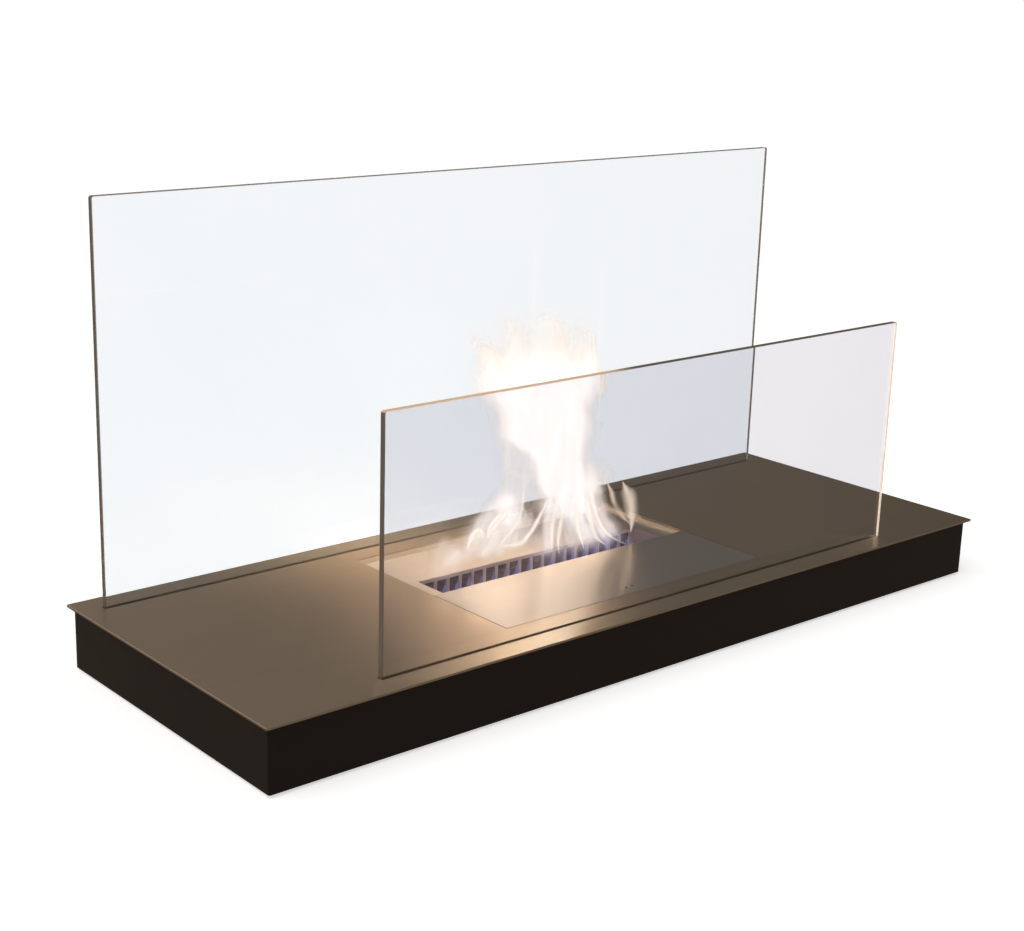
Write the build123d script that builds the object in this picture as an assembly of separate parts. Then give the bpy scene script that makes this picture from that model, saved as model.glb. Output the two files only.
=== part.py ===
from build123d import *
import os

# Bioethanol fireplace: a low steel tray under a brushed stainless plate, a tall glass
# pane behind the fire and a short one in front, and a drop-in burner whose flush cover
# slides back over the flame. Millimetres, +Z up, the floor at z = 0, the origin under
# the middle of the plate, +Y to the tall pane.

# --- driving dimensions -------------------------------------------------------------
plate_length = 900.0
plate_depth = 330.0
plate_thickness = 2.0
plate_top = 63.0
plate_corner = 1.5
plate_edge_break = 0.3

tray_overhang = 5.0
tray_sheet = 1.5
tray_corner = 2.0
tray_flange = 12.0
foot_height = 3.0

glass_thickness = 6.0
glass_offset = 138.0
glass_sunk = 26.0
glass_corner = 2.5
glass_arris = 0.6
back_glass_width = 852.0
back_glass_height = 370.0
front_glass_width = 644.0
front_glass_height = 226.0
slot_side_gap = 0.7
slot_end_gap = 0.8

gasket_thickness = 2.0
gasket_clearance = 0.1
gasket_bend = 1.05
channel_sheet = 1.5
channel_flange = 14.0
channel_bend = 1.5
channel_overrun = 4.0
gasket_overrun = 2.0
gasket_lip_gap = 0.5

cutout_length = 331.0
cutout_depth = 224.0
burner_gap = 0.7
housing_sheet = 1.2
housing_corner = 1.5
deck_drop = 6.0
deck_sheet = 1.5
deck_flange = 10.0
deck_side_gap = 0.1

opening_length = 291.0
opening_depth = 50.0
opening_centre_y = 18.0
liner_sheet = 1.0
liner_foot = 27.0
cut_fit = 0.2
slot_count = 18
slot_pitch = 15.4
slot_width = 11.5
slot_low = 36.0
slot_high = 53.3
mesh_sheet = 0.6
mesh_side_gap = 0.3
mesh_columns = 21
mesh_rows = 3
mesh_pitch = 13.4
mesh_hole = 9.6

tank_length = 315.0
tank_depth = 130.0
tank_sheet = 1.0
tank_corner = 8.0
tank_rim = 4.0

board_thickness = 3.5
board_length = 322.0
board_depth = 214.0

cover_sheet = 1.5
cover_gap = 0.8
cover_back_edge = -8.0
cover_travel = 60.0
cover_lip = 4.1
guide_sheet = 1.2
guide_width = 12.0
hook_hole = 3.2
hook_pitch = 8.0
hook_inset = 14.0
guide_side_gap = 0.6
guide_end_gap = 0.2
stop_diameter = 5.0
stop_height = 2.8
stop_gap = 0.1

foot_diameter = 22.0
screw_head = 8.0
screw_seat = 1.6
screw_recess = 0.4
pocket_clearance = 0.6

stud_diameter = 4.0
stud_length = 10.0
stud_clearance = 0.3
small_sides = 12
nut_flats = 7.0
nut_height = 3.2
nut_bore = 4.2

# --- levels and places that follow from them ----------------------------------------
plate_under = plate_top - plate_thickness
tray_length = plate_length - 2 * tray_overhang
tray_depth = plate_depth - 2 * tray_overhang
tray_floor = foot_height + tray_sheet
tray_lip_under = plate_under - tray_sheet
rim_line_x = tray_length / 2 - tray_sheet - tray_flange / 2
rim_line_y = tray_depth / 2 - tray_sheet - tray_flange / 2

glass_foot = plate_top - glass_sunk
channel_half = glass_thickness / 2 + gasket_clearance + gasket_thickness + channel_sheet
channel_foot = glass_foot - gasket_thickness - channel_sheet
channel_stud_y = glass_offset - channel_half - channel_flange / 2

housing_length = cutout_length - 2 * burner_gap
housing_depth = cutout_depth - 2 * burner_gap
housing_foot = tray_floor + board_thickness
housing_floor = housing_foot + housing_sheet
housing_top = plate_top - cover_sheet
housing_in_x = housing_length / 2 - housing_sheet
housing_in_y = housing_depth / 2 - housing_sheet
deck_top = plate_top - deck_drop
deck_under = deck_top - deck_sheet

rail_x = 187.0
rail_height = 12.0
rail_width = 14.0
rail_flange = 12.0
rail_half_length = channel_stud_y - channel_flange / 2 - 3.0

cover_length = cutout_length - 2 * cover_gap
cover_front_edge = -cutout_depth / 2 + cover_gap
guide_edge_x = housing_in_x - guide_side_gap
guide_front_y = -housing_in_y + guide_end_gap
guide_back_y = cover_back_edge - 2.0
guide_under = housing_top - guide_sheet

foot_x = 400.0
foot_y = 130.0
screw_top = tray_floor + nut_height + 1.0

rim_stud_places = [(x, side * rim_line_y) for x in (-300, 0, 300) for side in (-1, 1)]
rim_stud_places += [(side * rim_line_x, 0) for side in (-1, 1)]
back_stud_places = [(x, channel_stud_y) for x in (-390, -130, 130, 390)]
front_stud_places = [(x, -channel_stud_y) for x in (-280, 0, 280)]
channel_stud_places = back_stud_places + front_stud_places
foot_places = {
    "foot_front_left": (-foot_x, -foot_y),
    "foot_front_right": (foot_x, -foot_y),
    "foot_back_left": (-foot_x, foot_y),
    "foot_back_right": (foot_x, foot_y),
}


# --- helpers ------------------------------------------------------------------------
def slab(length, depth, low, high, corner=0.0, x=0.0, y=0.0):
    """A flat-bottomed block between two levels, its upright corners rounded."""
    outline = RectangleRounded(length, depth, corner) if corner else Rectangle(length, depth)
    return extrude(Pos(x, y, low) * outline, high - low)


def peg(diameter, low, high, x=0.0, y=0.0):
    return extrude(Pos(x, y, low) * Circle(diameter / 2), high - low)


def faceted(diameter, low, high, x, y, sides=small_sides):
    """Prism for a small hidden fastener or its hole, as wide over its flats as the round."""
    outline = RegularPolygon(diameter / 2, sides, major_radius=False)
    return extrude(Pos(x, y, low) * outline, high - low)


def stud_hole(low, high, x, y):
    return faceted(stud_diameter + 2 * stud_clearance, low, high, x, y)


def folded(points, sheet, bend, length):
    """Sheet of one thickness bent along a section in Y and Z, run along X from its middle."""
    line = FilletPolyline(*points, radius=bend)
    section = Plane.YZ * trace(line, sheet)
    return extrude(section, length / 2, both=True)


def group(solids):
    return Compound(children=solids)


# --- carcass ------------------------------------------------------------------------
def base_tray():
    """One folded sheet: floor, four walls and an inward flange that carries the plate."""
    inner_length = tray_length - 2 * tray_sheet
    inner_depth = tray_depth - 2 * tray_sheet
    inner_corner = tray_corner - tray_sheet
    tray = slab(tray_length, tray_depth, foot_height, plate_under, tray_corner)
    tray -= slab(inner_length, inner_depth, tray_floor, tray_lip_under, inner_corner)
    mouth_length = inner_length - 2 * tray_flange
    mouth_depth = inner_depth - 2 * tray_flange
    tray -= slab(mouth_length, mouth_depth, tray_lip_under, plate_under)
    mitre = Rectangle(2.2 * tray_flange, 1.0)
    for sx in (-1, 1):
        for sy in (-1, 1):
            place = Pos(sx * mouth_length / 2, sy * mouth_depth / 2, tray_lip_under)
            tray -= extrude(place * Rot(0, 0, 45 * sx * sy) * mitre, tray_sheet)
    for x, y in rim_stud_places:
        tray -= stud_hole(tray_lip_under, plate_under, x, y)
    for x, y in foot_places.values():
        tray -= stud_hole(foot_height, tray_floor, x, y)
    return tray


def top_plate():
    plate = slab(plate_length, plate_depth, plate_under, plate_top, plate_corner)
    plate = chamfer(plate.faces().sort_by(Axis.Z)[-1].edges(), plate_edge_break)
    plate -= slab(cutout_length, cutout_depth, plate_under, plate_top)
    slot_depth = glass_thickness + 2 * slot_side_gap
    for width, y in ((back_glass_width, glass_offset), (front_glass_width, -glass_offset)):
        plate -= slab(width + 2 * slot_end_gap, slot_depth, plate_under, plate_top, 1.0, 0, y)
    return plate


def stud(x, y):
    """Weld stud under the plate."""
    return faceted(stud_diameter, plate_under - stud_length, plate_under, x, y)


def nut(x, y, low):
    high = low + nut_height
    return faceted(nut_flats, low, high, x, y, sides=6) - faceted(nut_bore, low, high, x, y)


def cross_rail(x):
    """Hat section welded under the plate beside the burner, front to back."""
    low = plate_under - rail_height + channel_sheet / 2
    high = plate_under - channel_sheet / 2
    reach = rail_width / 2 + rail_flange
    points = [
        (-reach, high), (-rail_width / 2, high), (-rail_width / 2, low),
        (rail_width / 2, low), (rail_width / 2, high), (reach, high),
    ]
    hat = folded(points, channel_sheet, channel_bend, 2 * rail_half_length)
    return Pos(x, 0, 0) * Rot(0, 0, 90) * hat


# --- glass and what holds it --------------------------------------------------------
def glass(width, height, y):
    """Toughened pane with rounded corners and ground arrises, standing on edge."""
    tall = height + glass_sunk
    outline = RectangleRounded(width, tall, glass_corner)
    pane = extrude(Plane.XZ * outline, glass_thickness / 2, both=True)
    pane = Pos(0, y, glass_foot + tall / 2) * pane
    rims = pane.faces().filter_by(Axis.Y).edges()
    return chamfer(rims, glass_arris)


def glass_channel(width, y, studs):
    """J section under the plate: a trough for the pane's foot, one flange for the studs."""
    inward = -1 if y > 0 else 1
    half = channel_half - channel_sheet / 2
    low = channel_foot + channel_sheet / 2
    high = plate_under - channel_sheet / 2
    reach = half + channel_sheet / 2 + channel_flange
    points = [
        (y - inward * half, plate_under), (y - inward * half, low), (y + inward * half, low),
        (y + inward * half, high), (y + inward * reach, high),
    ]
    channel = folded(points, channel_sheet, channel_bend, width + 2 * channel_overrun)
    for stud_x, stud_y in studs:
        channel -= stud_hole(high - channel_sheet, plate_under, stud_x, stud_y)
    return channel


def glass_gasket(width, y):
    """Soft U strip between the channel and the pane's foot."""
    half = glass_thickness / 2 + gasket_clearance + gasket_thickness / 2
    low = glass_foot - gasket_thickness / 2
    high = plate_under - gasket_lip_gap
    points = [(y - half, high), (y - half, low), (y + half, low), (y + half, high)]
    return folded(points, gasket_thickness, gasket_bend, width + 2 * gasket_overrun)


# --- feet ---------------------------------------------------------------------------
def foot(x, y):
    """Rubber foot with a pocket for the screw head."""
    pad = peg(foot_diameter, 0, foot_height, x, y)
    pad -= faceted(screw_head + 2 * pocket_clearance, 0, screw_seat, x, y)
    return pad - stud_hole(screw_seat, foot_height, x, y)


def foot_screw(x, y):
    """The head sits in the foot's pocket, clear of the floor, and the shank takes the nut."""
    head = faceted(screw_head, screw_recess, screw_seat, x, y)
    return head + faceted(stud_diameter, screw_seat, screw_top, x, y)


# --- burner -------------------------------------------------------------------------
def burner_housing():
    """Open-topped box that drops through the plate; the cover slides on its side walls."""
    box = slab(housing_length, housing_depth, housing_foot, housing_top, housing_corner)
    inner_length = 2 * housing_in_x
    inner_depth = 2 * housing_in_y
    return box - slab(inner_length, inner_depth, housing_floor, housing_top)


def burner_deck():
    """Lowered floor of the recess, its edges turned down, with the flame opening."""
    length = 2 * (housing_in_x - deck_side_gap)
    depth = 2 * (housing_in_y - deck_side_gap)
    deck = slab(length, depth, deck_under - deck_flange, deck_top)
    deck -= slab(length - 2 * deck_sheet, depth - 2 * deck_sheet, deck_under - deck_flange, deck_under)
    hole_length = opening_length + 2 * cut_fit
    hole_depth = opening_depth + 2 * cut_fit
    deck -= slab(hole_length, hole_depth, deck_under, deck_top, 0, 0, opening_centre_y)
    return deck


def flame_liner():
    """Throat of the burner: a rectangular tube whose long walls are cut into a comb of
    upright slots, so the vapour in the wool behind them burns along both sides."""
    inner_length = opening_length - 2 * liner_sheet
    inner_depth = opening_depth - 2 * liner_sheet
    liner = slab(opening_length, opening_depth, liner_foot, deck_top, 0, 0, opening_centre_y)
    liner -= slab(inner_length, inner_depth, liner_foot, deck_top, 0, 0, opening_centre_y)
    slot = Rectangle(slot_width, slot_high - slot_low)
    comb = Sketch() + GridLocations(slot_pitch, 1, slot_count, 1) * slot
    cutter = extrude(Plane.XZ * comb, opening_depth, both=True)
    return liner - Pos(0, opening_centre_y, (slot_low + slot_high) / 2) * cutter


def fuel_tank():
    """Shallow rounded tank hung under the deck by its rim."""
    y = opening_centre_y
    rim_length = tank_length + 2 * tank_rim
    rim_depth = tank_depth + 2 * tank_rim
    tank = slab(tank_length, tank_depth, housing_floor, deck_under, tank_corner, 0, y)
    tank += slab(rim_length, rim_depth, deck_under - tank_sheet, deck_under, tank_corner + tank_rim, 0, y)
    inner_length = tank_length - 2 * tank_sheet
    inner_depth = tank_depth - 2 * tank_sheet
    inner_corner = tank_corner - tank_sheet
    floor = housing_floor + tank_sheet
    return tank - slab(inner_length, inner_depth, floor, deck_under, inner_corner, 0, y)


def wool(low, high, hole):
    """Ceramic wool cut to the tank, with or without the throat's hole."""
    length = tank_length - 2 * (tank_sheet + cut_fit)
    depth = tank_depth - 2 * (tank_sheet + cut_fit)
    pad = slab(length, depth, low, high, tank_corner - tank_sheet, 0, opening_centre_y)
    if hole:
        hole_length = opening_length + 2 * cut_fit
        hole_depth = opening_depth + 2 * cut_fit
        pad -= slab(hole_length, hole_depth, low, high, 0, 0, opening_centre_y)
    return pad


def wick_mesh():
    """Perforated sheet over the wool, where the fuel is poured."""
    length = opening_length - 2 * (liner_sheet + mesh_side_gap)
    depth = opening_depth - 2 * (liner_sheet + mesh_side_gap)
    grid = GridLocations(mesh_pitch, mesh_pitch, mesh_columns, mesh_rows)
    sheet = Rectangle(length, depth) - grid * Rectangle(mesh_hole, mesh_hole)
    return extrude(Pos(0, opening_centre_y, liner_foot) * sheet, mesh_sheet)


# --- sliding cover ------------------------------------------------------------------
def slider_cover():
    """Flush cover with two holes for the hook and its back edge turned down."""
    depth = cover_back_edge - cover_front_edge
    middle = (cover_back_edge + cover_front_edge) / 2
    cover = slab(cover_length, depth, housing_top, plate_top, 0, 0, middle)
    lip_length = 2 * (guide_edge_x - guide_width - 1.0)
    lip_y = cover_back_edge - cover_sheet / 2
    cover += slab(lip_length, cover_sheet, housing_top - cover_lip, housing_top, 0, 0, lip_y)
    for side in (-1, 1):
        y = cover_front_edge + hook_inset
        cover -= peg(hook_hole, housing_top, plate_top, side * hook_pitch / 2, y)
    return cover


def slider_guide(side):
    """Angle welded under the cover: its leg runs inside the housing wall, and the tab on
    its front end meets the stop when the fire is shut."""
    depth = guide_back_y - guide_front_y
    middle_y = (guide_back_y + guide_front_y) / 2
    middle_x = side * (guide_edge_x - guide_width / 2)
    leg_low = housing_top - cover_lip
    leg_x = side * (guide_edge_x - guide_sheet / 2)
    tab_y = guide_front_y + guide_sheet / 2
    web = slab(guide_width, depth, guide_under, housing_top, 0, middle_x, middle_y)
    leg = slab(guide_sheet, depth, leg_low, guide_under, 0, leg_x, middle_y)
    tab = slab(guide_width, guide_sheet, leg_low, guide_under, 0, middle_x, tab_y)
    return web + leg + tab


def slider_stop(side):
    """Round stop standing on the deck, under the cover wherever it is."""
    x = side * (guide_edge_x - guide_width + 1.0)
    y = guide_front_y + guide_sheet + cover_travel + stop_gap + stop_diameter / 2
    return peg(stop_diameter, deck_top, deck_top + stop_height, x, y)


# --- all nodes ----------------------------------------------------------------------
nodes = {
    "base_tray": base_tray(),
    "top_plate": top_plate(),
    "rim_studs": group([stud(x, y) for x, y in rim_stud_places]),
    "rim_nuts": group([nut(x, y, tray_lip_under - nut_height) for x, y in rim_stud_places]),
    "channel_studs": group([stud(x, y) for x, y in channel_stud_places]),
    "channel_nuts": group([nut(x, y, tray_lip_under - nut_height) for x, y in channel_stud_places]),
    "cross_rail_left": cross_rail(-rail_x),
    "cross_rail_right": cross_rail(rail_x),
    "back_glass_channel": glass_channel(back_glass_width, glass_offset, back_stud_places),
    "front_glass_channel": glass_channel(front_glass_width, -glass_offset, front_stud_places),
    "back_glass_gasket": glass_gasket(back_glass_width, glass_offset),
    "front_glass_gasket": glass_gasket(front_glass_width, -glass_offset),
    "back_glass": glass(back_glass_width, back_glass_height, glass_offset),
    "front_glass": glass(front_glass_width, front_glass_height, -glass_offset),
    "foot_screws": group([foot_screw(x, y) for x, y in foot_places.values()]),
    "foot_nuts": group([nut(x, y, tray_floor) for x, y in foot_places.values()]),
    "insulation_board": slab(board_length, board_depth, tray_floor, housing_foot),
    "burner_housing": burner_housing(),
    "burner_deck": burner_deck(),
    "flame_liner": flame_liner(),
    "fuel_tank": fuel_tank(),
    "wool_base": wool(housing_floor + tank_sheet, liner_foot, False),
    "wool_surround": wool(liner_foot, deck_under - tank_sheet, True),
    "wick_mesh": wick_mesh(),
    "slider_stops": group([slider_stop(side) for side in (-1, 1)]),
    "slider_cover": slider_cover(),
    "slider_guide_left": slider_guide(-1),
    "slider_guide_right": slider_guide(1),
}
for name, (x, y) in foot_places.items():
    nodes[name] = foot(x, y)

os.makedirs("parts", exist_ok=True)
for name, shape in nodes.items():
    export_step(shape, f"parts/{name}.step")
print(f"{len(nodes)} nodes written")
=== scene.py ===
import bpy
import math
from mathutils import Matrix, Vector


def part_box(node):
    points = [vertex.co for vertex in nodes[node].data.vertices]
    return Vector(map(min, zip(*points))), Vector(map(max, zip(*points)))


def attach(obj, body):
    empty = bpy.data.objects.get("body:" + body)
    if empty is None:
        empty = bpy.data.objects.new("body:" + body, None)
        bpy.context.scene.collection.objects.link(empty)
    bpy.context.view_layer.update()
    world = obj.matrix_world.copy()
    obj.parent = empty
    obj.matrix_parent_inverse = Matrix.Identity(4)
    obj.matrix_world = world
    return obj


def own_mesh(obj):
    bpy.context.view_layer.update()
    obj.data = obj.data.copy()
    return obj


# Looks for the bioethanol fireplace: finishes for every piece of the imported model, the fire
# itself, a pale floor and soft studio light. Metres, +Z up, +Y towards the tall pane.

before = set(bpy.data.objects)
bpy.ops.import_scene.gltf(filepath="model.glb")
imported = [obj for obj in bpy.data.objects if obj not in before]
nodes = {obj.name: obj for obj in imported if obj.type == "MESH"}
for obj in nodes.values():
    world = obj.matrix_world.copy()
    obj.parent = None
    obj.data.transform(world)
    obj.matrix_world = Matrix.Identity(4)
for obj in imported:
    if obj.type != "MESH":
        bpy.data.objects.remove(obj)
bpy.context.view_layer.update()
scene = bpy.context.scene
scene.view_settings.view_transform = "Standard"
scene.cycles.use_denoising = True
scene.cycles.transparent_max_bounces = 96  # the fire is many thin veils, one behind another

photoCamera = {
    "place": (-1.1163, -1.1981, 0.6276),
    "azimuth": 0.6834,  # radians, from +Y towards +X
    "pitch": 0.2749,  # looking down
    "roll": 0.0206,
    "focalPixels": 1743.5,
    "axisPixel": (450, 455),  # where the optical axis meets the photograph
    "imageSize": (1024, 931),
    "sensor": 36,
}


def makeCamera(look):
    turn, tilt, roll = look["azimuth"], look["pitch"], look["roll"]
    ahead = Vector((math.sin(turn) * math.cos(tilt), math.cos(turn) * math.cos(tilt), -math.sin(tilt)))
    side = Vector((math.cos(turn), -math.sin(turn), 0))
    over = side.cross(ahead)
    right = math.cos(roll) * side + math.sin(roll) * over
    up = math.cos(roll) * over - math.sin(roll) * side
    wide, high = look["imageSize"]
    data = bpy.data.cameras.new("photoCamera")
    data.sensor_width = look["sensor"]
    data.lens = look["focalPixels"] * look["sensor"] / wide
    data.shift_x = (wide / 2 - look["axisPixel"][0]) / wide
    data.shift_y = (look["axisPixel"][1] - high / 2) / wide
    data.clip_start, data.clip_end = 0.01, 60
    camera = bpy.data.objects.new("photoCamera", data)
    scene.collection.objects.link(camera)
    turned = Matrix((right, up, -ahead)).transposed().to_4x4()
    camera.matrix_world = Matrix.Translation(look["place"]) @ turned
    scene.camera = camera


makeCamera(photoCamera)
print("camera done")


# inputs are values, or sockets to link
def addNode(tree, kind, inputs=None, **settings):
    made = tree.nodes.new(kind)
    for key, value in settings.items():
        setattr(made, key, value)
    for key, value in (inputs or {}).items():
        if isinstance(value, bpy.types.NodeSocket):
            tree.links.new(value, made.inputs[key])
        else:
            made.inputs[key].default_value = value
    return made


def calc(tree, operation, *values):
    return addNode(tree, "ShaderNodeMath", dict(enumerate(values)), operation=operation).outputs[0]


def vectorMath(tree, operation, inputs):
    return addNode(tree, "ShaderNodeVectorMath", inputs, operation=operation).outputs[0]


def total(tree, *values):
    result = values[0]
    for value in values[1:]:
        result = calc(tree, "ADD", result, value)
    return result


def product(tree, *values):
    result = values[0]
    for value in values[1:]:
        result = calc(tree, "MULTIPLY", result, value)
    return result


def remap(tree, value, fromLow, fromHigh, toLow, toHigh, style="SMOOTHSTEP"):
    inputs = {"Value": value, "From Min": fromLow, "From Max": fromHigh, "To Min": toLow, "To Max": toHigh}
    return addNode(tree, "ShaderNodeMapRange", inputs, interpolation_type=style).outputs["Result"]


def blendColours(tree, share, first, second, style="MIX"):
    inputs = {0: share, 6: first, 7: second}
    return addNode(tree, "ShaderNodeMix", inputs, data_type="RGBA", blend_type=style).outputs[2]


def grey(tree, value):
    return addNode(tree, "ShaderNodeCombineColor", {0: value, 1: value, 2: value}).outputs[0]


def split(tree, vector):
    parts = addNode(tree, "ShaderNodeSeparateXYZ", {0: vector}).outputs
    return parts["X"], parts["Y"], parts["Z"]


def join(tree, x, y, z):
    return addNode(tree, "ShaderNodeCombineXYZ", {0: x, 1: y, 2: z}).outputs[0]


# 1 for what the eye sees directly or through glass, 0 for what is mirrored or lit
def firstSight(tree):
    path = addNode(tree, "ShaderNodeLightPath").outputs
    bounces = calc(tree, "SUBTRACT", path["Ray Depth"], path["Transmission Depth"])
    return calc(tree, "SUBTRACT", 1.0, calc(tree, "MINIMUM", bounces, 1.0))


# scale is in repeats to the metre on each axis
def noise(tree, coords, scale, detail=3.0, roughness=0.5):
    placed = addNode(tree, "ShaderNodeMapping", {"Vector": coords, "Scale": scale}).outputs[0]
    inputs = {"Vector": placed, "Scale": 1.0, "Detail": detail, "Roughness": roughness}
    return addNode(tree, "ShaderNodeTexNoise", inputs, normalize=True).outputs["Fac"]


def bumped(tree, height, strength, distance):
    inputs = {"Height": height, "Strength": strength, "Distance": distance}
    return addNode(tree, "ShaderNodeBump", inputs).outputs[0]


def newMaterial(name):
    material = bpy.data.materials.new(name)
    material.use_nodes = True
    tree = material.node_tree
    tree.nodes.clear()
    coords = addNode(tree, "ShaderNodeTexCoord").outputs["Object"]
    return material, tree, coords


def finishMaterial(tree, shader):
    addNode(tree, "ShaderNodeOutputMaterial", {"Surface": shader})


def principled(tree, inputs):
    return addNode(tree, "ShaderNodeBsdfPrincipled", inputs).outputs[0]


def dress(material, *names):
    for name in names:
        nodes[name].data.materials.clear()
        nodes[name].data.materials.append(material)


# levels and places of the burner that the finishes and the fire go by
linerLow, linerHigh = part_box("flame_liner")
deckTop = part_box("burner_deck")[1].z
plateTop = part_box("top_plate")[1].z
throatY = (linerLow.y + linerHigh.y) / 2
throatHalfX = (linerHigh.x - linerLow.x) / 2
throatHalfY = (linerHigh.y - linerLow.y) / 2

# streaks, broad, cloud and the like are noise scales, in repeats to the metre on each axis
plateLook = {
    "colour": (0.562, 0.478, 0.386, 1), "stain": (0.502, 0.423, 0.332, 1), "contrast": 0.05,
    "streaks": (7, 1500, 1500), "broad": (2.5, 90, 90), "cloud": (5, 9, 9), "streakShare": 0.7,
    "roughLow": 0.50, "roughHigh": 0.58, "anisotropic": 0.86, "bump": 0.06, "bumpDepth": 0.0001,
    "coat": 0.45, "coatRough": 0.12, "coatTint": (1.0, 0.95, 0.88, 1), "heat": 0.0,
}
coverLook = dict(
    plateLook, colour=(0.592, 0.570, 0.545, 1), stain=(0.543, 0.521, 0.496, 1),
    roughLow=0.53, roughHigh=0.61, coat=0.30, heat=0.05)
burnerLook = dict(coverLook, colour=(0.70, 0.65, 0.58, 1), stain=(0.64, 0.59, 0.52, 1), coat=0.0, heat=0.10)
linerLook = dict(burnerLook, colour=(0.74, 0.70, 0.69, 1), stain=(0.64, 0.60, 0.63, 1), heat=0.25)
foldedLook = dict(
    plateLook, colour=(0.42, 0.42, 0.42, 1), stain=(0.36, 0.36, 0.36, 1), roughLow=0.35, roughHigh=0.5,
    coat=0.0)
heatTint = {
    "near": (0.62, 0.54, 0.70, 1), "far": (0.96, 0.84, 0.66, 1), "reach": 0.030, "turn": (0.45, 0.95),
}


# stainless sheet brushed along X: streaks, a cloudy tone, heat colours round the throat
def brushedSteel(name, look):
    material, tree, coords = newMaterial(name)
    streaks = noise(tree, coords, look["streaks"], detail=4, roughness=0.7)
    broad = noise(tree, coords, look["broad"])
    cloud = noise(tree, coords, look["cloud"], roughness=0.6)
    pale = blendColours(tree, cloud, look["colour"], look["stain"])
    shade = remap(tree, streaks, 0.25, 0.75, 1 - look["contrast"], 1 + look["contrast"])
    colour = blendColours(tree, 1.0, pale, grey(tree, shade), "MULTIPLY")
    if look["heat"]:
        x, y, z = split(tree, coords)
        offX = calc(tree, "MAXIMUM", calc(tree, "SUBTRACT", calc(tree, "ABSOLUTE", x), throatHalfX), 0.0)
        offY = calc(tree, "ABSOLUTE", calc(tree, "SUBTRACT", y, throatY))
        offY = calc(tree, "MAXIMUM", calc(tree, "SUBTRACT", offY, throatHalfY), 0.0)
        away = calc(tree, "SQRT", total(tree, product(tree, offX, offX), product(tree, offY, offY)))
        wander = calc(tree, "MULTIPLY", calc(tree, "SUBTRACT", cloud, 0.5), heatTint["reach"])
        nearness = remap(tree, total(tree, away, wander), 0.0, heatTint["reach"], 1.0, 0.0)
        nearest = remap(tree, nearness, *heatTint["turn"], 0.0, 1.0)
        tint = blendColours(tree, nearest, heatTint["far"], heatTint["near"])
        strength = calc(tree, "MULTIPLY", nearness, look["heat"])
        colour = blendColours(tree, strength, colour, blendColours(tree, 1.0, colour, tint, "MULTIPLY"))
    share = look["streakShare"]
    grain = total(tree, calc(tree, "MULTIPLY", streaks, share), calc(tree, "MULTIPLY", broad, 1 - share))
    finishMaterial(tree, principled(tree, {
        "Base Color": colour, "Metallic": 1.0, "Anisotropic": look["anisotropic"],
        "Roughness": remap(tree, grain, 0.2, 0.8, look["roughLow"], look["roughHigh"]),
        "Tangent": join(tree, 0.0, 1.0, 0.0),
        "Normal": bumped(tree, grain, look["bump"], look["bumpDepth"]),
        "Coat Weight": look["coat"], "Coat Roughness": look["coatRough"], "Coat Tint": look["coatTint"],
    }))
    return material


dress(brushedSteel("plateSteel", plateLook), "top_plate")
dress(brushedSteel("coverSteel", coverLook), "slider_cover")
dress(brushedSteel("burnerSteel", burnerLook), "burner_deck", "burner_housing", "fuel_tank",
      "slider_guide_left", "slider_guide_right")
dress(brushedSteel("linerSteel", linerLook), "flame_liner", "wick_mesh")
dress(brushedSteel("foldedSteel", foldedLook), "back_glass_channel", "front_glass_channel",
      "cross_rail_left", "cross_rail_right")

platedLook = {
    "colour": (0.60, 0.60, 0.57, 1), "stain": (0.52, 0.50, 0.42, 1), "cloud": (90, 90, 90),
    "threadPitch": 0.0007, "roughLow": 0.28, "roughHigh": 0.42, "bump": 0.4, "bumpDepth": 0.0003,
}


# zinc-plated fastener: thread lines in the bump, a faint yellow stain
def platedSteel(look):
    material, tree, coords = newMaterial("platedSteel")
    colour = blendColours(tree, noise(tree, coords, look["cloud"]), look["colour"], look["stain"])
    height = split(tree, coords)[2]
    turns = calc(tree, "PINGPONG", height, look["threadPitch"] / 2)
    thread = calc(tree, "MULTIPLY", turns, 2 / look["threadPitch"])
    finishMaterial(tree, principled(tree, {
        "Base Color": colour, "Metallic": 1.0,
        "Roughness": remap(tree, thread, 0, 1, look["roughLow"], look["roughHigh"]),
        "Normal": bumped(tree, thread, look["bump"], look["bumpDepth"]),
    }))
    return material


dress(platedSteel(platedLook), "rim_studs", "rim_nuts", "channel_studs", "channel_nuts",
      "foot_screws", "foot_nuts", "slider_stops")

trayLook = {
    "colour": (0.0105, 0.0074, 0.0056, 1), "worn": (0.0135, 0.0098, 0.0076, 1), "cloud": (6, 6, 12),
    "roughLow": 0.30, "roughHigh": 0.42, "specular": 0.30, "peel": (700, 700, 700), "bump": 0.05,
    "bumpDepth": 0.0002,
}


# dark powder coat with orange peel
def satinPaint(look):
    material, tree, coords = newMaterial("trayPaint")
    cloud = noise(tree, coords, look["cloud"], detail=4)
    peel = noise(tree, coords, look["peel"], detail=2)
    finishMaterial(tree, principled(tree, {
        "Base Color": blendColours(tree, cloud, look["colour"], look["worn"]),
        "Roughness": remap(tree, cloud, 0.3, 0.7, look["roughLow"], look["roughHigh"]),
        "Specular IOR Level": look["specular"],
        "Normal": bumped(tree, peel, look["bump"], look["bumpDepth"]),
    }))
    return material


dress(satinPaint(trayLook), "base_tray")
print("metal done")

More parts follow.
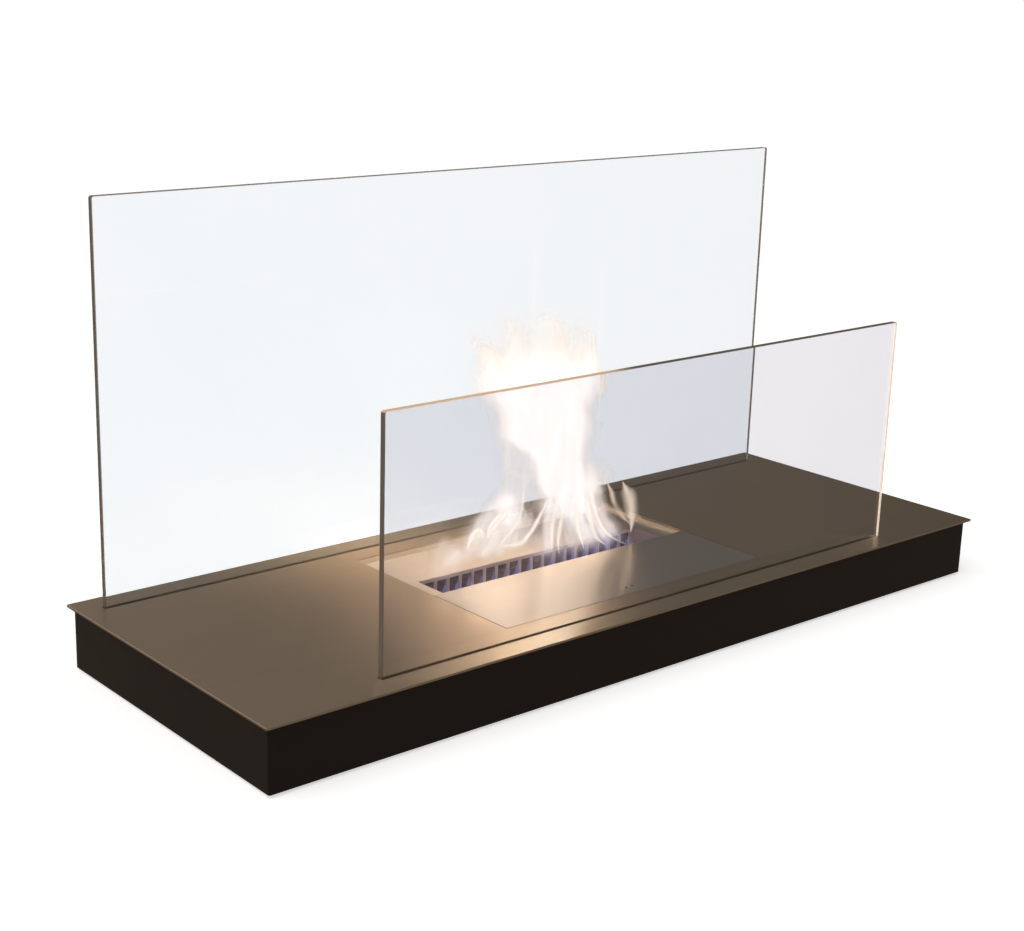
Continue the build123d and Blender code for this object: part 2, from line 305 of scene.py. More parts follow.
rubberLook = {
    "colour": (0.020, 0.020, 0.020, 1), "fleck": (0.032, 0.031, 0.030, 1), "grain": (500, 500, 500),
    "roughLow": 0.6, "roughHigh": 0.8, "bump": 0.3, "bumpDepth": 0.0002,
}
boardLook = {
    "colour": (0.70, 0.66, 0.58, 1), "fleck": (0.55, 0.50, 0.43, 1), "grain": (260, 260, 260),
    "roughLow": 0.85, "roughHigh": 0.97, "bump": 0.5, "bumpDepth": 0.0005,
}
woolLook = {
    "colour": (0.16, 0.14, 0.17, 1), "fleck": (0.07, 0.06, 0.08, 1), "grain": (90, 420, 420),
    "roughLow": 0.85, "roughHigh": 1.0, "bump": 0.8, "bumpDepth": 0.0010,
}


# rubber, board or wool: two tones, and a grain and a bump of one size
def mattStuff(name, look):
    material, tree, coords = newMaterial(name)
    grain = noise(tree, coords, look["grain"], detail=5, roughness=0.65)
    flecks = remap(tree, grain, 0.3, 0.7, 0.0, 1.0)
    finishMaterial(tree, principled(tree, {
        "Base Color": blendColours(tree, flecks, look["colour"], look["fleck"]),
        "Roughness": remap(tree, grain, 0, 1, look["roughLow"], look["roughHigh"]),
        "Normal": bumped(tree, grain, look["bump"], look["bumpDepth"]),
    }))
    return material


dress(mattStuff("rubber", rubberLook), "foot_front_left", "foot_front_right", "foot_back_left",
      "foot_back_right", "back_glass_gasket", "front_glass_gasket")
dress(mattStuff("fibreBoard", boardLook), "insulation_board")
dress(mattStuff("ceramicWool", woolLook), "wool_base", "wool_surround")
print("rubber, board and wool done")

backGlassLook = {
    "tint": (0.885, 0.930, 0.968, 1), "smear": (0.870, 0.917, 0.956, 1),
    # the rims' dark brown colour is painted shade, and the two golden colours are a painted glow of the
    # fire's light on the rims
    "shadowTint": (0.93, 0.95, 0.97, 1), "edge": (0.19, 0.165, 0.14, 1),
    "paintedGlowColour": (0.84, 0.70, 0.55, 1), "paintedTopGlowColour": (0.62, 0.43, 0.28, 1),
    "paintedGlowRight": 0.0, "paintedGlowUpTo": -1.0,  # the painted glow on the top rim runs from its left end up to this x
    "edgeNormal": 0.9, "edgeRough": 0.25, "edgeClear": 0.45, "paintedGlowStrength": 0.55,
    "facing": (0.3, 0.7), "softEnd": 0.02, "smears": (6, 6, 4), "smeared": (0.40, 0.80), "bending": 1.5,
}
frontGlassLook = dict(
    backGlassLook, tint=(0.842, 0.849, 0.894, 1), smear=(0.828, 0.835, 0.880, 1),
    paintedGlowRight=1.0, paintedGlowUpTo=-0.06)


# clear toughened glass; the ground rims, found by their normals, are matt and painted darker as painted
# shade, and carry a painted glow of the fire's light at the right and along part of the top
def paneGlass(name, look):
    material, tree, coords = newMaterial(name)
    normal = split(tree, addNode(tree, "ShaderNodeNewGeometry").outputs["True Normal"])
    rim = calc(tree, "LESS_THAN", calc(tree, "ABSOLUTE", normal[1]), look["edgeNormal"])
    x = split(tree, coords)[0]
    # masks of the painted fire glow: sideways rims at the right end, and the top rim up to a given x
    right = remap(tree, calc(tree, "ABSOLUTE", normal[0]), *look["facing"], 0.0, look["paintedGlowRight"])
    right = calc(tree, "MULTIPLY", right, calc(tree, "GREATER_THAN", x, 0.0))
    end, soft = look["paintedGlowUpTo"], look["softEnd"]
    along = remap(tree, x, end - soft, end + soft, 1.0, 0.0)
    top = calc(tree, "MULTIPLY", remap(tree, normal[2], *look["facing"], 0.0, 1.0), along)
    edge = blendColours(tree, top, blendColours(tree, right, look["edge"], look["paintedGlowColour"]), look["paintedTopGlowColour"])
    smears = noise(tree, coords, look["smears"], detail=4, roughness=0.6)
    smears = remap(tree, smears, *look["smeared"], 0.0, 1.0)
    face = blendColours(tree, smears, look["tint"], look["smear"])
    paintedGlowMask = calc(tree, "MULTIPLY", rim, calc(tree, "MAXIMUM", right, top))
    # the rims that carry the painted fire glow also emit it
    shader = principled(tree, {
        "Base Color": blendColours(tree, rim, face, edge), "IOR": look["bending"],
        "Roughness": calc(tree, "MULTIPLY", rim, look["edgeRough"]),
        "Transmission Weight": remap(tree, rim, 0.0, 1.0, 1.0, look["edgeClear"], "LINEAR"),
        "Emission Color": blendColours(tree, paintedGlowMask, (0, 0, 0, 1), edge),
        "Emission Strength": look["paintedGlowStrength"],
    })
    passing = addNode(tree, "ShaderNodeBsdfTransparent", {0: look["shadowTint"]}).outputs[0]
    # what the pieces mirror is seen straight through the faces, so the fire lights all of the plate
    path = addNode(tree, "ShaderNodeLightPath").outputs
    mirrored = calc(tree, "MINIMUM", calc(tree, "ADD", path["Glossy Depth"], path["Diffuse Depth"]), 1.0)
    mirrored = calc(tree, "MULTIPLY", mirrored, calc(tree, "SUBTRACT", 1.0, rim))
    straight = calc(tree, "MAXIMUM", path["Is Shadow Ray"], mirrored)
    mixed = addNode(tree, "ShaderNodeMixShader", {0: straight, 1: shader, 2: passing})
    finishMaterial(tree, mixed.outputs[0])
    return material


dress(paneGlass("backPaneGlass", backGlassLook), "back_glass")
dress(paneGlass("frontPaneGlass", frontGlassLook), "front_glass")
print("glass done")

fireTop = 0.262  # above the plate

# the edges of a tongue are (height above the plate, left, right) in mm, seen from the short pane;
# what has four numbers is a range and what remap turns it into
fireLook = {
    "foot": -0.034, "top": fireTop, "halfLength": 0.160, "halfDepth": 0.036, "voxel": 0.0026,
    "seed": 7.3, "skins": 6, "adaptivity": 0.25,
    # the veil is the thin outer skins, the heart the dense inner ones
    "parts": {
        "flame_veil": {"thinnest": 0.10, "step": 0.055},
        "flame_heart": {"thinnest": 0.43, "step": 0.090},
    },
    "tongues": {
        "trunk": {
            "deep": 0.017, "y": 0.000, "power": 1.50, "ends": (0.30, 0.72),
            "edges": [(20, 8, 44), (45, 4, 48), (65, -2, 44), (79, -10, 38), (95, -16, 34), (106, -23, 35),
                      (117, -41, 38), (128, -58, 41), (143, -64, 37), (161, -71, 37), (176, -79, 37),
                      (200, -81, 30), (225, -80, 30)]},
        "crown": {
            "deep": 0.015, "y": 0.000, "power": 0.40, "ends": (0.20, 0.55),
            "edges": [(150, -66, 44), (176, -78, 52), (195, -74, 42), (215, -62, 37), (262, -52, 30)]},
        "ear": {
            "deep": 0.010, "y": 0.002, "power": 0.95, "ends": (0.20, 0.60),
            "edges": [(180, -82, -56), (207, -85, -69), (220, -89, -79), (244, -95, -89)]},
        "crownLeft": {
            "deep": 0.012, "y": 0.000, "power": 0.60, "ends": (0.20, 0.66),
            "edges": [(165, -62, -26), (210, -60, -34), (235, -60, -36), (262, -54, -44)]},
        "crownMiddle": {
            "deep": 0.013, "y": -0.003, "power": 1.15, "ends": (0.15, 0.68),
            "edges": [(165, -24, 30), (196, -22, 16), (216, -20, 4), (248, -14, -6)]},
        "rightWisp": {
            "deep": 0.010, "y": 0.004, "power": 0.55, "ends": (0.20, 0.66),
            "edges": [(140, 36, 48), (160, 41, 53), (174, 45, 58), (190, 39, 50), (208, 34, 44),
                      (240, 34, 40)]},
        "paleVeil": {
            "deep": 0.013, "y": 0.006, "power": 0.34, "ends": (0.10, 0.80),
            "edges": [(30, -60, -12), (65, -58, -12), (98, -64, -16), (135, -66, -40)]},
        "leftMilk": {
            "deep": 0.015, "y": 0.004, "power": 0.60, "ends": (0.25, 0.72),
            "edges": [(4, -112, -6), (18, -114, -14), (34, -108, -22), (46, -98, -30), (58, -74, -38),
                      (76, -56, -44)]},
        "farMilk": {
            "deep": 0.012, "y": 0.004, "power": 0.36, "ends": (0.25, 0.60),
            "edges": [(-6, -150, -96), (14, -150, -102), (30, -147, -114), (50, -140, -124)]},
        "skirt": {
            "deep": 0.015, "y": 0.003, "power": 0.64, "ends": (0.40, 0.85),
            "edges": [(-22, -20, 96), (4, -12, 82), (24, -8, 66), (60, -2, 56)]},
        "rightSkirt": {
            "deep": 0.013, "y": 0.005, "power": 0.52, "ends": (0.30, 0.66),
            "edges": [(-20, 72, 120), (10, 60, 104), (27, 52, 84), (43, 48, 75), (60, 44, 68),
                      (94, 38, 48)]},
        "puff": {
            "deep": 0.012, "y": 0.004, "power": 0.34, "ends": (0.25, 0.60),
            "edges": [(46, 48, 66), (64, 46, 84), (78, 42, 78), (100, 38, 60)]},
    },
    # the air drags the fire about more the higher it is
    "drift": {"scale": 26.0, "detail": 3.0, "roughness": 0.6, "stretch": 0.42,
              "drag": (0.05, 0.95, 0.014, 0.044)},
    # strands run together towards the neck of the fire, with thinner places between them
    "strands": {"across": 75.0, "up": 13.0, "gather": (0.05, 0.40, 1.0, 2.2),
                "lowGaps": (0.12, 0.40, 0.30, 0.70), "highGaps": (0.65, 0.88, 0.70, 0.25),
                "contrast": (0.30, 0.70), "fullest": 1.28},
    # the opacity is lower in streaks, at the root and at the tips; blue is the root's colour
    "streaks": (70, 70, 12), "torn": (0.32, 0.60, 0.30, 1.0),
    "rooted": (deckTop - 0.020, plateTop + 0.008, 0.30, 1.0),
    "tipped": (plateTop + 0.185, plateTop + fireTop, 1.0, 0.22),
    "blue": (deckTop - 0.012, plateTop + 0.010, 1.0, 0.0), "root": (0.44, 0.46, 0.92, 1),
    # colour and opacity of one skin at a few densities of the fire
    "thin": {"heat": 0.10, "colour": (0.97, 0.78, 0.64, 1), "alpha": 0.037},
    "warm": {"heat": 0.45, "colour": (0.98, 0.90, 0.83, 1), "alpha": 0.12},
    "white": {"heat": 0.80, "colour": (0.99, 0.975, 0.935, 1), "alpha": 0.30},
    "hotter": 1.50, "hotUpTo": (0.165, 0.225),  # the lower fire is brighter
    # how much stronger the fire is for what it lights than for the eye
    "glow": (plateTop + 0.12, plateTop + 0.24, 4.3, 11.2), "glowColour": (1.0, 0.85, 0.68, 1),
    "mirrored": 0.30,  # how strong its sharp image in the panes is
}


# glowing, see-through skins of the fire: heat is how dense the fire is at that skin
def fireMaterial(name, look):
    material, tree, coords = newMaterial(name)
    heat = addNode(tree, "ShaderNodeAttribute", attribute_name="fireHeat").outputs["Fac"]
    thin, warm, white = look["thin"], look["warm"], look["white"]
    lower = remap(tree, heat, thin["heat"], warm["heat"], 0.0, 1.0, "LINEAR")
    upper = remap(tree, heat, warm["heat"], white["heat"], 0.0, 1.0, "LINEAR")
    colour = blendColours(tree, lower, thin["colour"], warm["colour"])
    colour = blendColours(tree, upper, colour, white["colour"])
    alpha = total(tree, thin["alpha"], calc(tree, "MULTIPLY", lower, warm["alpha"] - thin["alpha"]),
                  calc(tree, "MULTIPLY", upper, white["alpha"] - warm["alpha"]))
    height = split(tree, coords)[2]
    torn = remap(tree, noise(tree, coords, look["streaks"]), *look["torn"])
    rooted = remap(tree, height, *look["rooted"])
    tipped = remap(tree, height, *look["tipped"])
    blue = remap(tree, height, *look["blue"])
    low, high = look["hotUpTo"]
    below = remap(tree, height, plateTop + low, plateTop + high, look["hotter"] - 1.0, 0.0)
    hotter = calc(tree, "ADD", calc(tree, "MULTIPLY", below, lower), 1.0)
    colour = blendColours(tree, 1.0, colour, grey(tree, hotter), "MULTIPLY")
    flame = blendColours(tree, blue, colour, look["root"])
    path = addNode(tree, "ShaderNodeLightPath").outputs
    sharp = calc(tree, "MULTIPLY", path["Is Singular Ray"], path["Is Reflection Ray"])
    eye = firstSight(tree)
    seen = calc(tree, "MAXIMUM", eye, sharp)
    lighting = blendColours(tree, 1.0, flame, look["glowColour"], "MULTIPLY")
    image = remap(tree, eye, 0.0, 1.0, look["mirrored"], 1.0, "LINEAR")
    glow = remap(tree, height, *look["glow"])
    strength = addNode(tree, "ShaderNodeMix", {0: seen, 2: glow, 3: image}, data_type="FLOAT").outputs[0]
    finishMaterial(tree, principled(tree, {
        "Base Color": (0, 0, 0, 1), "Roughness": 1.0, "Specular IOR Level": 0.0,
        "Alpha": product(tree, alpha, torn, rooted, tipped),
        "Emission Color": blendColours(tree, seen, lighting, flame), "Emission Strength": strength,
    }))
    return material


# a smooth curve through places, each a (share of the height, value) pair
def curveThrough(tree, share, places, low, high):
    made = addNode(tree, "ShaderNodeFloatCurve", {"Value": share})
    points = made.mapping.curves[0].points
    while len(points) < len(places):
        points.new(0.5, 0.5)
    for point, (at, value) in zip(points, places):
        point.location = (at, (value - low) / (high - low))
    made.mapping.update()
    return remap(tree, made.outputs[0], 0.0, 1.0, low, high, "LINEAR")


# how dense one tongue is: full between its edges, soft outside them, closed at both ends
def tongueField(tree, warped, tongue, half):
    x, y, z = warped
    edges = [[size / 1000 for size in edge] for edge in tongue["edges"]]
    low, high = edges[0][0], edges[-1][0]
    share = remap(tree, z, plateTop + low, plateTop + high, 0.0, 1.0, "LINEAR")
    shares = [(edge[0] - low) / (high - low) for edge in edges]
    left = curveThrough(tree, share, list(zip(shares, [edge[1] for edge in edges])), -half, half)
    right = curveThrough(tree, share, list(zip(shares, [edge[2] for edge in edges])), -half, half)
    middle = calc(tree, "MULTIPLY", calc(tree, "ADD", left, right), 0.5)
    reach = calc(tree, "MULTIPLY", calc(tree, "SUBTRACT", right, left), 0.5)
    offX = calc(tree, "DIVIDE", calc(tree, "SUBTRACT", x, middle), reach)
    offY = calc(tree, "DIVIDE", calc(tree, "SUBTRACT", y, throatY + tongue["y"]), tongue["deep"])
    across = calc(tree, "POWER", calc(tree, "ABSOLUTE", offX), 4.0)
    off = total(tree, across, product(tree, offY, offY))
    column = calc(tree, "EXPONENT", calc(tree, "MULTIPLY", off, -1.0))
    opening = remap(tree, share, 0.0, tongue["ends"][0], 0.0, 1.0)
    closing = remap(tree, share, tongue["ends"][1], 1.0, 1.0, 0.0)
    return product(tree, column, opening, closing, tongue["power"])


def newTree(name, *sockets):
    tree = bpy.data.node_groups.new(name, "GeometryNodeTree")
    tree.interface.new_socket("Geometry", in_out="INPUT", socket_type="NodeSocketGeometry")
    for socket in sockets:
        tree.interface.new_socket(socket, in_out="INPUT", socket_type="NodeSocketFloat")
    tree.interface.new_socket("Geometry", in_out="OUTPUT", socket_type="NodeSocketGeometry")
    return tree, addNode(tree, "NodeGroupInput").outputs


def closeTree(tree, geometry, material):
    smooth = addNode(tree, "GeometryNodeSetShadeSmooth", {"Geometry": geometry}).outputs[0]
    real = addNode(tree, "GeometryNodeRealizeInstances", {"Geometry": smooth}).outputs[0]
    painted = addNode(tree, "GeometryNodeSetMaterial", {"Geometry": real, "Material": material}).outputs[0]
    addNode(tree, "NodeGroupOutput", {"Geometry": painted})


# the fire as nested skins of one density field
def fireTree(look, material):
    tree, given = newTree(
        "fireTree", "Foot", "Top", "Half Length", "Half Depth", "Voxel", "Seed", "Thinnest", "Step")
    place = addNode(tree, "GeometryNodeInputPosition").outputs[0]
    x, y, z = split(tree, place)
    rise = calc(tree, "DIVIDE", calc(tree, "SUBTRACT", z, given["Foot"]),
                calc(tree, "SUBTRACT", given["Top"], given["Foot"]))
    drift, strands = look["drift"], look["strands"]
    drifting = addNode(tree, "ShaderNodeTexNoise", {
        "Vector": join(tree, x, y, calc(tree, "MULTIPLY", z, drift["stretch"])), "W": given["Seed"],
        "Scale": drift["scale"], "Detail": drift["detail"], "Roughness": drift["roughness"],
    }, noise_dimensions="4D").outputs["Color"]
    centred = vectorMath(tree, "SUBTRACT", {0: drifting, 1: (0.5, 0.5, 0.5)})
    moved = vectorMath(tree, "SCALE", {0: centred, "Scale": remap(tree, rise, *drift["drag"])})
    warped = split(tree, vectorMath(tree, "ADD", {0: place, 1: moved}))
    fields = [tongueField(tree, warped, tongue, look["halfLength"]) for tongue in look["tongues"].values()]
    density = total(tree, *fields)
    gather = remap(tree, rise, *strands["gather"])
    strand = join(tree, product(tree, warped[0], gather, strands["across"]),
                  calc(tree, "MULTIPLY", warped[1], strands["across"]),
                  calc(tree, "MULTIPLY", warped[2], strands["up"]))
    fine = addNode(tree, "ShaderNodeTexNoise", {
        "Vector": strand, "W": given["Seed"], "Scale": 1.0, "Detail": 2.0,
    }, noise_dimensions="4D").outputs["Fac"]
    lowGaps = remap(tree, rise, *strands["lowGaps"])
    gaps = calc(tree, "MINIMUM", lowGaps, remap(tree, rise, *strands["highGaps"]))
    fullness = remap(tree, fine, *strands["contrast"], gaps, strands["fullest"])
    body = calc(tree, "MULTIPLY", density, fullness)
    low = join(tree, calc(tree, "MULTIPLY", given["Half Length"], -1.0),
               calc(tree, "SUBTRACT", throatY, given["Half Depth"]), given["Foot"])
    high = join(tree, given["Half Length"], calc(tree, "ADD", given["Half Depth"], throatY), given["Top"])
    counts = [
        calc(tree, "DIVIDE", calc(tree, "MULTIPLY", given["Half Length"], 2.0), given["Voxel"]),
        calc(tree, "DIVIDE", calc(tree, "MULTIPLY", given["Half Depth"], 2.0), given["Voxel"]),
        calc(tree, "DIVIDE", calc(tree, "SUBTRACT", given["Top"], given["Foot"]), given["Voxel"]),
    ]
    cube = addNode(tree, "GeometryNodeVolumeCube", {
        "Density": body, "Background": 0.0, "Min": low, "Max": high,
        "Resolution X": counts[0], "Resolution Y": counts[1], "Resolution Z": counts[2]}).outputs[0]
    joined = addNode(tree, "GeometryNodeJoinGeometry")
    for index in range(look["skins"]):
        level = calc(tree, "ADD", given["Thinnest"], calc(tree, "MULTIPLY", given["Step"], index))
        skin = addNode(tree, "GeometryNodeVolumeToMesh", {
            "Volume": cube, "Threshold": level, "Adaptivity": look["adaptivity"]}).outputs[0]
        marked = addNode(tree, "GeometryNodeStoreNamedAttribute", {
            "Geometry": skin, "Name": "fireHeat", "Value": level})
        tree.links.new(marked.outputs[0], joined.inputs[0])
    closeTree(tree, joined.outputs[0], material)
    return tree


# runs a geometry tree on a mesh, or on nothing, and keeps the result as a plain mesh
def growMesh(name, tree, sizes, start=None):
    seed = bpy.data.objects.new(name + "Seed", start or bpy.data.meshes.new(name + "Seed"))
    scene.collection.objects.link(seed)
    modifier = seed.modifiers.new("grow", "NODES")
    modifier.node_group = tree
    for item in tree.interface.items_tree:
        if item.in_out == "INPUT" and item.name in sizes:
            modifier[item.identifier] = sizes[item.name]
    bpy.context.view_layer.update()
    ready = seed.evaluated_get(bpy.context.evaluated_depsgraph_get())
    mesh = bpy.data.meshes.new_from_object(ready)
    mesh.name = name
    bpy.data.objects.remove(seed)
    for index in reversed(range(len(mesh.materials))):
        if not mesh.materials[index]:
            mesh.materials.pop(index=index)
    made = bpy.data.objects.new(name, mesh)
    scene.collection.objects.link(made)
    return made


# fire goes with the burner, each piece with a mesh of its own
def placeFire(fire):
    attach(fire, "burner")
    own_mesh(fire)
    print(fire.name, len(fire.data.polygons), "faces")


fireSkin = fireMaterial("fireSkin", fireLook)
for name, part in fireLook["parts"].items():
    placeFire(growMesh(name, fireTree(fireLook, fireSkin), {
        "Foot": plateTop + fireLook["foot"], "Top": plateTop + fireLook["top"],
        "Half Length": fireLook["halfLength"], "Half Depth": fireLook["halfDepth"],
        "Voxel": fireLook["voxel"], "Seed": fireLook["seed"],
        "Thinnest": part["thinnest"], "Step": part["step"],
    }))

# bright threads of the fire, each drawn through (x, height above the plate) in mm
threadLook = {
    "y": -0.010, "girth": 0.0030, "skins": 4, "outer": 0.30, "inner": 0.80, "sides": 7, "points": 26,
    "opening": (0.0, 0.30, 0.12, 1.0), "closing": (0.60, 1.0, 1.0, 0.12), "thinning": 0.75,
    "thin": {"heat": 0.10, "colour": (0.98, 0.70, 0.48, 1), "alpha": 0.06},
    "warm": {"heat": 0.45, "colour": (0.98, 0.83, 0.68, 1), "alpha": 0.17},
    "lines": {
        "rightS": {"wide": 1.0, "through": [(40, 100), (44, 73), (50, 45), (62, 21), (76, 7), (98, -6)]},
        "rightOuter": {"wide": 1.2, "hot": 0.50, "through": [
            (66, 68), (74, 55), (79, 43), (90, 27), (106, 13)]},
        "rightTongue": {"wide": 2.9, "hot": 0.66, "through": [
            (90, 62), (94, 55), (100, 45), (104, 32), (106, 18), (105, 6)]},
        "rightEdge": {"wide": 0.8, "hot": 0.55, "through": [
            (41, 213), (44, 192), (55, 177), (54, 162), (48, 142)]},
        "leftLine": {"wide": 1.0, "through": [(-72, 26), (-48, 23), (-32, 33), (-19, 50), (-8, 68)]},
        "leftBow": {"wide": 0.8, "through": [(-44, 84), (-45, 60), (-52, 44), (-70, 28), (-82, 20)]},
        "leftCurl": {"wide": 1.0, "through": [(-68, 58), (-78, 54), (-87, 44), (-83, 30)]},
        "spear": {"wide": 1.1, "through": [(-92, 32), (-84, 42), (-71, 54), (-54, 66)]},
        "midCurl": {"wide": 1.2, "through": [(-113, 30), (-106, 44), (-97, 46), (-92, 32)]},
        "strandA": {"wide": 1.3, "through": [(4, 70), (-2, 47), (-5, 30), (-4, 6)]},
        "strandB": {"wide": 1.1, "through": [(14, 66), (8, 40), (4, 18), (6, 2)]},
        "strandC": {"wide": 1.2, "through": [(26, 58), (28, 33), (34, 14), (40, 0)]},
        "strandD": {"wide": 1.2, "through": [(40, 60), (46, 32), (55, 11), (71, -2)]},
        "ear": {"wide": 0.9, "through": [(-92, 238), (-86, 224), (-78, 206), (-70, 186)]},
        "tip": {"wide": 1.3, "through": [(-9, 236), (-2, 216), (6, 196), (12, 170)]},
    },
}


# each line becomes nested tubes that thin towards their ends
def threadTree(look, material):
    tree, given = newTree("threadTree", "Girth", "Outer", "Inner")
    line = addNode(tree, "GeometryNodeMeshToCurve", {"Mesh": given["Geometry"]}).outputs[0]
    curved = addNode(tree, "GeometryNodeCurveSplineType", {"Curve": line}, spline_type="CATMULL_ROM")
    even = addNode(tree, "GeometryNodeResampleCurve", {
        "Curve": curved.outputs[0], "Count": look["points"]}).outputs[0]
    along = addNode(tree, "GeometryNodeSplineParameter").outputs["Factor"]
    wide = addNode(tree, "GeometryNodeInputNamedAttribute", {"Name": "wide"}, data_type="FLOAT").outputs[0]
    hot = addNode(tree, "GeometryNodeInputNamedAttribute", {"Name": "hot"}, data_type="FLOAT").outputs[0]
    taper = product(
        tree, wide, remap(tree, along, *look["opening"]), remap(tree, along, *look["closing"]))
    profile = addNode(tree, "GeometryNodeCurvePrimitiveCircle", {
        "Resolution": look["sides"], "Radius": 1.0}).outputs[0]
    joined = addNode(tree, "GeometryNodeJoinGeometry")
    for index in range(look["skins"]):
        depth = index / (look["skins"] - 1)
        girth = product(tree, taper, given["Girth"], 1.0 - look["thinning"] * depth)
        tube = addNode(tree, "GeometryNodeCurveToMesh", {
            "Curve": even, "Profile Curve": profile, "Scale": girth})
        level = remap(tree, depth, 0.0, 1.0, given["Outer"], given["Inner"], "LINEAR")
        level = calc(tree, "MULTIPLY", level, hot)
        marked = addNode(tree, "GeometryNodeStoreNamedAttribute", {
            "Geometry": tube.outputs[0], "Name": "fireHeat", "Value": level})
        tree.links.new(marked.outputs[0], joined.inputs[0])
    closeTree(tree, joined.outputs[0], material)
    return tree


def threadLines(look):
    places, edges, widths, heats = [], [], [], []
    for line in look["lines"].values():
        through = line["through"]
        edges += [(len(places) + step, len(places) + step + 1) for step in range(len(through) - 1)]
        places += [(x / 1000, throatY + look["y"], plateTop + height / 1000) for x, height in through]
        widths += [line["wide"]] * len(through)
        heats += [line.get("hot", 1.0)] * len(through)
    mesh = bpy.data.meshes.new("threadLines")
    mesh.from_pydata(places, edges, [])
    mesh.attributes.new("wide", "FLOAT", "POINT").data.foreach_set("value", widths)
    mesh.attributes.new("hot", "FLOAT", "POINT").data.foreach_set("value", heats)
    return mesh


threadSkin = fireMaterial("threadSkin", dict(fireLook, thin=threadLook["thin"], warm=threadLook["warm"]))
placeFire(growMesh("flame_threads", threadTree(threadLook, threadSkin), {
    "Girth": threadLook["girth"], "Outer": threadLook["outer"], "Inner": threadLook["inner"],
}, threadLines(threadLook)))

# blue lick at every air slot of the liner
lickLook = {
    "count": 18, "pitch": 0.0154, "inset": 0.006, "foot": 0.040, "height": 0.022, "girth": 0.0034,
    "seed": 11, "smallest": (0.6, 0.6, 0.25), "largest": (1.4, 1.4, 1.0),
    "sides": 10, "rings": 6, "colour": (0.34, 0.35, 0.72, 1), "tip": (0.72, 0.68, 0.88, 1),
    "alpha": 0.17, "fade": 1.15,
}


def lickMaterial(look):
    material, tree, coords = newMaterial("blueLick")
    height = split(tree, coords)[2]
    up = remap(tree, height, look["foot"], look["foot"] + look["height"], 0.0, 1.0)
    finishMaterial(tree, principled(tree, {
        "Base Color": (0, 0, 0, 1), "Roughness": 1.0, "Specular IOR Level": 0.0,
        "Alpha": calc(tree, "MULTIPLY", calc(tree, "SUBTRACT", look["fade"], up), look["alpha"]),
        "Emission Color": blendColours(tree, up, look["colour"], look["tip"]), "Emission Strength": 1.0,
    }))
    return material


def lickTree(look, material):
    tree, given = newTree("lickTree", "Count", "Pitch", "Reach", "Foot", "Height", "Girth", "Seed")
    startX = product(tree, calc(tree, "SUBTRACT", given["Count"], 1.0), given["Pitch"], -0.5)
    rows = addNode(tree, "GeometryNodeJoinGeometry")
    for wall in (-1, 1):
        startY = calc(tree, "ADD", calc(tree, "MULTIPLY", given["Reach"], wall), throatY)
        row = addNode(tree, "GeometryNodeMeshLine", {
            "Count": given["Count"], "Start Location": join(tree, startX, startY, given["Foot"]),
            "Offset": join(tree, given["Pitch"], 0.0, 0.0)})
        tree.links.new(row.outputs[0], rows.inputs[0])
    lick = addNode(tree, "GeometryNodeMeshCone", {
        "Vertices": look["sides"], "Side Segments": look["rings"], "Radius Top": 0.0,
        "Radius Bottom": given["Girth"], "Depth": given["Height"]}, fill_type="NONE").outputs["Mesh"]
    size = addNode(tree, "FunctionNodeRandomValue", {
        0: look["smallest"], 1: look["largest"], "Seed": given["Seed"],
    }, data_type="FLOAT_VECTOR").outputs[0]
    licks = addNode(tree, "GeometryNodeInstanceOnPoints", {
        "Points": rows.outputs[0], "Instance": lick, "Scale": size}).outputs[0]
    closeTree(tree, licks, material)
    return tree


placeFire(growMesh("flame_licks", lickTree(lickLook, lickMaterial(lickLook)), {
    "Count": lickLook["count"], "Pitch": lickLook["pitch"], "Reach": throatHalfY - lickLook["inset"],
    "Foot": lickLook["foot"], "Height": lickLook["height"], "Girth": lickLook["girth"],
    "Seed": lickLook["seed"],
}))
print("fire done")

floorLook = {
    "size": 14.0, "colour": (0.90, 0.90, 0.90, 1), "roughness": 0.95, "specular": 0.1, "lift": 0.60,
    "mirrored": (0.20, 0.155, 0.125, 1),
}
studioLook = {
    "key": {"aim": (0.70, 0.10, -1.0), "power": 1.0, "spread": 0.9, "colour": (1.0, 1.0, 1.0)},
    "backdrop": 1.0,
    "left": (0.352, 0.301, 0.250, 1), "right": (0.075, 0.068, 0.058, 1), "above": (0.32, 0.31, 0.30, 1),
    "turned": (0.90, 0.10), "leftToRight": (0.35, 0.85, 0.0, 1.0),
    "lowToHigh": (0.15, 0.45, 1.5, 0.75), "overhead": (0.45, 0.95, 0.0, 1.0),
}


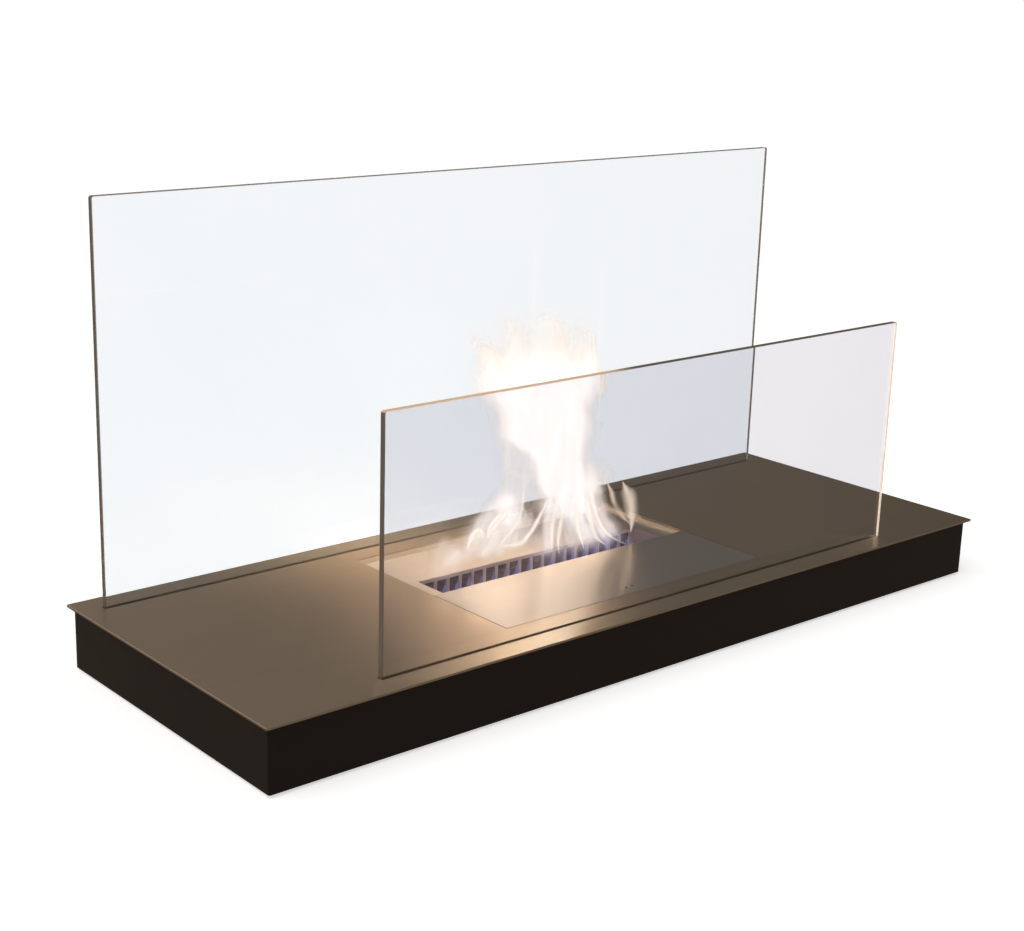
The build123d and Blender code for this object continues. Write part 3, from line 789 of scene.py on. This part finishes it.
# pale to the eye; what the pieces mirror of it is as dim as the rest of the room
def makeFloor(look):
    half = look["size"] / 2
    mesh = bpy.data.meshes.new("floor")
    corners = [(-half, -half, 0), (half, -half, 0), (half, half, 0), (-half, half, 0)]
    mesh.from_pydata(corners, [], [(0, 1, 2, 3)])
    floor = bpy.data.objects.new("floor", mesh)
    scene.collection.objects.link(floor)
    material, tree, coords = newMaterial("paleFloor")
    lift = calc(tree, "MULTIPLY", firstSight(tree), look["lift"])
    pale = principled(tree, {
        "Base Color": look["colour"], "Roughness": look["roughness"],
        "Specular IOR Level": look["specular"], "Emission Color": (1, 1, 1, 1), "Emission Strength": lift,
    })
    dim = addNode(tree, "ShaderNodeEmission", {"Color": look["mirrored"]}).outputs[0]
    glossy = addNode(tree, "ShaderNodeLightPath").outputs["Glossy Depth"]
    mirrored = calc(tree, "MINIMUM", glossy, 1.0)
    finishMaterial(tree, addNode(tree, "ShaderNodeMixShader", {0: mirrored, 1: pale, 2: dim}).outputs[0])
    material.cycles.emission_sampling = "NONE"
    mesh.materials.append(material)


def makeLamp(name, look):
    data = bpy.data.lights.new(name, "SUN")
    data.angle = look["spread"]
    data.energy = look["power"]
    data.color = look["colour"]
    lamp = bpy.data.objects.new(name, data)
    scene.collection.objects.link(lamp)
    lamp.rotation_mode = "QUATERNION"
    lamp.rotation_quaternion = Vector(look["aim"]).to_track_quat("-Z", "Y")


# white behind the object; for reflections a dim room, brighter to the left and overhead
def makeWorld(look):
    world = bpy.data.worlds.new("studio")
    scene.world = world
    world.use_nodes = True
    tree = world.node_tree
    tree.nodes.clear()
    x, y, z = split(tree, addNode(tree, "ShaderNodeTexCoord").outputs["Generated"])
    alongX, alongY = look["turned"]
    turned = total(tree, calc(tree, "MULTIPLY", x, alongX), calc(tree, "MULTIPLY", y, alongY))
    room = blendColours(tree, remap(tree, turned, *look["leftToRight"]), look["left"], look["right"])
    room = blendColours(tree, 1.0, room, grey(tree, remap(tree, z, *look["lowToHigh"])), "MULTIPLY")
    dim = blendColours(tree, remap(tree, z, *look["overhead"]), room, look["above"])
    white = (look["backdrop"], look["backdrop"], look["backdrop"], 1)
    path = addNode(tree, "ShaderNodeLightPath").outputs
    # the world is met one bounce later than a surface
    bounces = calc(tree, "SUBTRACT", path["Ray Depth"], path["Transmission Depth"])
    bounces = calc(tree, "SUBTRACT", bounces, 1.0)
    straight = calc(tree, "SUBTRACT", 1.0, calc(tree, "MINIMUM", bounces, 1.0))
    through = calc(tree, "MULTIPLY", path["Is Transmission Ray"], straight)
    shown = blendColours(tree, calc(tree, "MAXIMUM", path["Is Camera Ray"], through), dim, white)
    back = addNode(tree, "ShaderNodeBackground", {"Color": shown, "Strength": 1.0})
    addNode(tree, "ShaderNodeOutputWorld", {"Surface": back.outputs[0]})


makeFloor(floorLook)
makeLamp("keyLight", studioLook["key"])
makeWorld(studioLook)
print("studio done")
